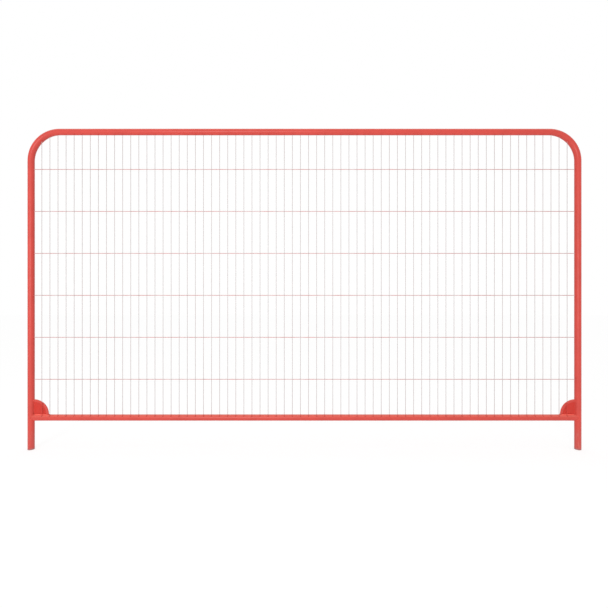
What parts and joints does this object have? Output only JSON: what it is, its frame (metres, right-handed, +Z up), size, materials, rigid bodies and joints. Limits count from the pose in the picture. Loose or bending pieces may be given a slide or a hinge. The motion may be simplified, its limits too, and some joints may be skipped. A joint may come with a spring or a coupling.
{
  "type": "round-top mesh fence panel",
  "caption": "Portable fence panel: a red tubular hoop on two legs with a bottom rail, pressed corner gussets and a welded wire mesh infill.",
  "frame": {"origin": "middle of the left leg's foot face, where the leg's axis meets the ground", "axes": "+X along the panel to the right leg, +Z up the legs, mesh on the -Y side of the tubes"},
  "size_m": [3.435, 0.038, 1.99],
  "materials": {
    "frame_paint": "satin sprayed red enamel over steel tube, thin at the welds",
    "mesh_wire": "galvanised wire under a thin veil of red overspray"
  },
  "bodies": {
    "root": {"left_upright": "frame_paint", "left_bend": "frame_paint", "top_rail": "frame_paint", "right_bend": "frame_paint", "right_upright": "frame_paint", "bottom_rail": "frame_paint", "left_gusset": "frame_paint", "right_gusset": "frame_paint", "wire_mesh": "mesh_wire"}
  },
  "joints": []
}
